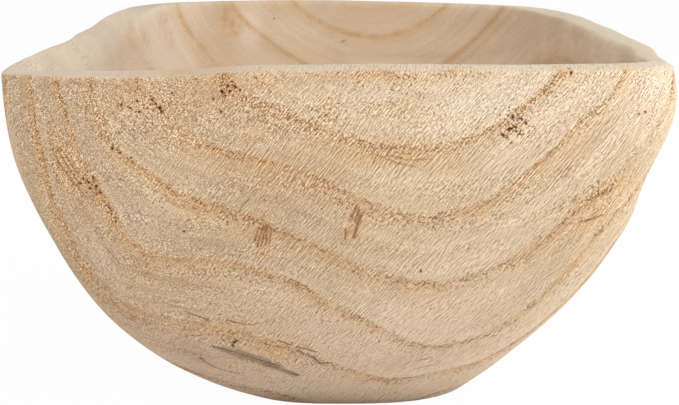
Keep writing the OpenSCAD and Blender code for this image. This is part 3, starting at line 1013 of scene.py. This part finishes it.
    def knife_marks(self):
        """Slanting cuts, in the hatched areas and where the rings lie level."""
        g = self.g
        hatch = g.times(g.most(g.attribute("hatch"), g.rest(self.steep)), self.rough)
        self.cuts = g.times(g.ripple(self.slanted, SCRATCHES), hatch)
        self.two_tone(self.cuts, HATCH_LIFT)

    def drawn_marks(self):
        """Scorched stripes, the grey stain, cracks and pits."""
        g = self.g
        self.paint(SCORCH, g.attribute("burn"), g.patchy(self.space, RAGGED))
        self.paint(STAIN, g.attribute("stain"), g.remap(self.strokes, *STAIN_STREAKS))
        self.paint(PORE, g.attribute("crack"), CRACK_STRENGTH)
        self.paint(HALO, g.attribute("halo"), HALO_STRENGTH)
        self.paint(HOLE, g.attribute("pit"))

    def relief(self):
        """The normal over the pores, fibres and cuts."""
        g = self.g
        parts = (self.pores, g.times(self.fibre, self.contrast), self.cuts)
        inputs = {"Height": g.plus(*g.shares(parts, RELIEF)), "Strength": RELIEF_STRENGTH}
        return g.add("Bump", {**inputs, "Distance": RELIEF_HEIGHT}).outputs[0]


def wood_material():
    """Bare pale wood."""
    material = bpy.data.materials.new("pale_wood")
    g = Graph(material)
    wood = Wood(g)
    wood.bands_of_colour()
    wood.soft_areas_and_painted_light()
    wood.ring_colours()
    wood.fine_grain()
    wood.open_pores()
    wood.knife_marks()
    wood.drawn_marks()
    dullness = g.remap(wood.fibre, *DULLNESS)
    inputs = {"Base Color": wood.colour, "Roughness": dullness, "Normal": wood.relief()}
    shader = g.add("BsdfPrincipled", {**inputs, "Specular IOR Level": WOOD_SPECULAR})
    g.add("OutputMaterial", {"Surface": shader.outputs[0]})
    return material


def refined(mesh, marks):
    """Cuts the faces on and beside the fine marks into smaller ones."""
    bm = bmesh.new()
    bm.from_mesh(mesh)
    bm.faces.ensure_lookup_table()
    centres = np.array([face.calc_center_median() for face in bm.faces])
    close = marks.near_fine_marks(centres)
    edges = {edge for index in np.flatnonzero(close) for edge in bm.faces[index].edges}
    bmesh.ops.subdivide_edges(bm, edges=list(edges), cuts=MARK_CUTS, use_grid_fill=True)
    bmesh.ops.triangulate(bm, faces=[face for face in bm.faces if len(face.verts) > 4])
    bm.to_mesh(mesh)
    bm.free()


def add_values(mesh, name, values):
    attribute = mesh.attributes.new(name, "FLOAT", "POINT")
    attribute.data.foreach_set("value", np.asarray(values, dtype=np.float32))


def add_marks(mesh, points, marks):
    """The strength of each kind of mark at each point."""
    for name, _, _, softness in FINE_MARKS:
        add_values(mesh, name, marks.drawn(points, name, softness))
    for name in PATCHES:
        add_values(mesh, name, marks.spread(points, name))


# Stations over which the sanded finish and the rim's colour begin
FINISH_EASE = 1
RIM_EASE = 2


def placed(name, data):
    """A new object in the scene."""
    made = bpy.data.objects.new(name, data)
    bpy.context.scene.collection.objects.link(made)
    return made


def build_bowl():
    """The bowl's skin, with the rings, the finish and the marks of each point."""
    grid, foot_pole, floor_pole = skin_grid()
    sections, stations = grid.shape[:2]
    points = np.concatenate([grid.reshape(-1, 3), [foot_pole, floor_pole]])
    faces = grid_faces(sections, stations)
    skin = BVHTree.FromPolygons(points.tolist(), faces)
    marks = Marks(skin)
    mesh = bpy.data.meshes.new("carved_bowl")
    mesh.from_pydata(points.tolist(), [], faces)
    station = np.arange(stations)
    rim_start = FOOT_STATIONS - 1 + WALL_STATIONS - 1 + LIP_STATIONS // 2
    rim_end = rim_start + LIP_STATIONS + RIM_STATIONS
    sanded = smooth_step(-FINISH_EASE, FINISH_EASE, station - rim_start)
    land = smooth_step(0, RIM_EASE, station - rim_start) * smooth_step(0, RIM_EASE, rim_end - station)
    add_values(mesh, "finish", np.append(np.tile(sanded, sections), [0, 1]))
    add_values(mesh, "rim", np.append(np.tile(land, sections), [0, 0]))
    refined(mesh, marks)
    points = np.array([v.co for v in mesh.vertices])
    normals = np.array([v.normal for v in mesh.vertices])
    number, way_round = ring_place(points, ring_stretches(skin))
    add_values(mesh, "ring", number)
    add_values(mesh, "way", way_round)
    add_values(mesh, "end_grain", np.abs(normals[:, 1]))
    add_marks(mesh, points, marks)
    mesh.vertices.foreach_set("co", carve(points, normals, marks).ravel())
    mesh.polygons.foreach_set("use_smooth", [True] * len(mesh.polygons))
    mesh.update()
    mesh.materials.append(wood_material())
    bowl = placed("carved_bowl", mesh)
    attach(bowl, "root")
    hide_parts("bowl")


def add_camera():
    """The camera of the photograph."""
    data = bpy.data.cameras.new("camera")
    data.sensor_fit = "HORIZONTAL"
    data.sensor_width = SENSOR_WIDTH
    data.lens = FOCAL_PIXELS / PHOTO_WIDTH * SENSOR_WIDTH
    data.clip_start = CLIP_START
    camera = placed("camera", data)
    camera.location = CAMERA_PLACE
    camera.rotation_euler = (math.pi / 2 - CAMERA_PITCH, 0, 0)
    bpy.context.scene.camera = camera


def seen_directly(g):
    """1 for rays from the camera, straight, mirrored or through glass."""
    path = g.add("LightPath", {}).outputs
    return g.most(path["Is Camera Ray"], path["Is Glossy Ray"], path["Is Transmission Ray"])


# Floor: width, colour, and how much of it shows as plain white
FLOOR_SIZE = 12
FLOOR_COLOUR = (244, 243, 241)
FLOOR_GLOW = 0.97


def add_floor():
    """A plain white floor, which keeps a soft shadow."""
    half = FLOOR_SIZE / 2
    mesh = bpy.data.meshes.new("floor")
    corners = [(-half, -half, 0), (half, -half, 0), (half, half, 0), (-half, half, 0)]
    mesh.from_pydata(corners, [], [(0, 1, 2, 3)])
    material = bpy.data.materials.new("white_floor")
    g = Graph(material)
    lit = g.add("BsdfDiffuse", {"Color": colour(FLOOR_COLOUR)}).outputs[0]
    glow = g.add("Emission", {"Color": WHITE, "Strength": 1}).outputs[0]
    share = g.times(seen_directly(g), FLOOR_GLOW)
    mixed = g.add("MixShader", {0: share, 1: lit, 2: glow}).outputs[0]
    g.add("OutputMaterial", {"Surface": mixed})
    mesh.materials.append(material)
    floor = placed("floor", mesh)


# Light that the surroundings give; they show as white
WORLD_LIGHT = 0.36


def add_world():
    """Even white surroundings."""
    world = bpy.data.worlds.new("studio")
    g = Graph(world)
    strength = g.mix(seen_directly(g), WORLD_LIGHT, 1)
    shown = g.add("Background", {"Color": WHITE, "Strength": strength}).outputs[0]
    g.add("OutputWorld", {"Surface": shown})
    bpy.context.scene.world = world


# Square lamps: name, place, width, energy, and the point that they face
LAMPS = [
    ("key", (1.3, -1.1, 1.5), 1.2, 15),
    ("side", (1.6, -0.6, 0.5), 1.0, 14),
    ("fill", (-1.2, -1.4, 0.9), 1.4, 18),
    ("top", (0.7, -0.3, 1.8), 1.2, 7),
]
LAMP_TARGET = Vector((0, 0, 0.1))


def add_softbox(name, place, width, energy):
    """A square area lamp that faces the bowl."""
    data = bpy.data.lights.new(name, "AREA")
    data.shape = "SQUARE"
    data.size = width
    data.energy = energy
    lamp = placed(name, data)
    lamp.location = place
    lamp.rotation_euler = (LAMP_TARGET - Vector(place)).to_track_quat("-Z", "Y").to_euler()


build_bowl()
add_camera()
add_floor()
add_world()
for lamp_settings in LAMPS:
    add_softbox(*lamp_settings)
bpy.context.scene.view_settings.view_transform = "Standard"
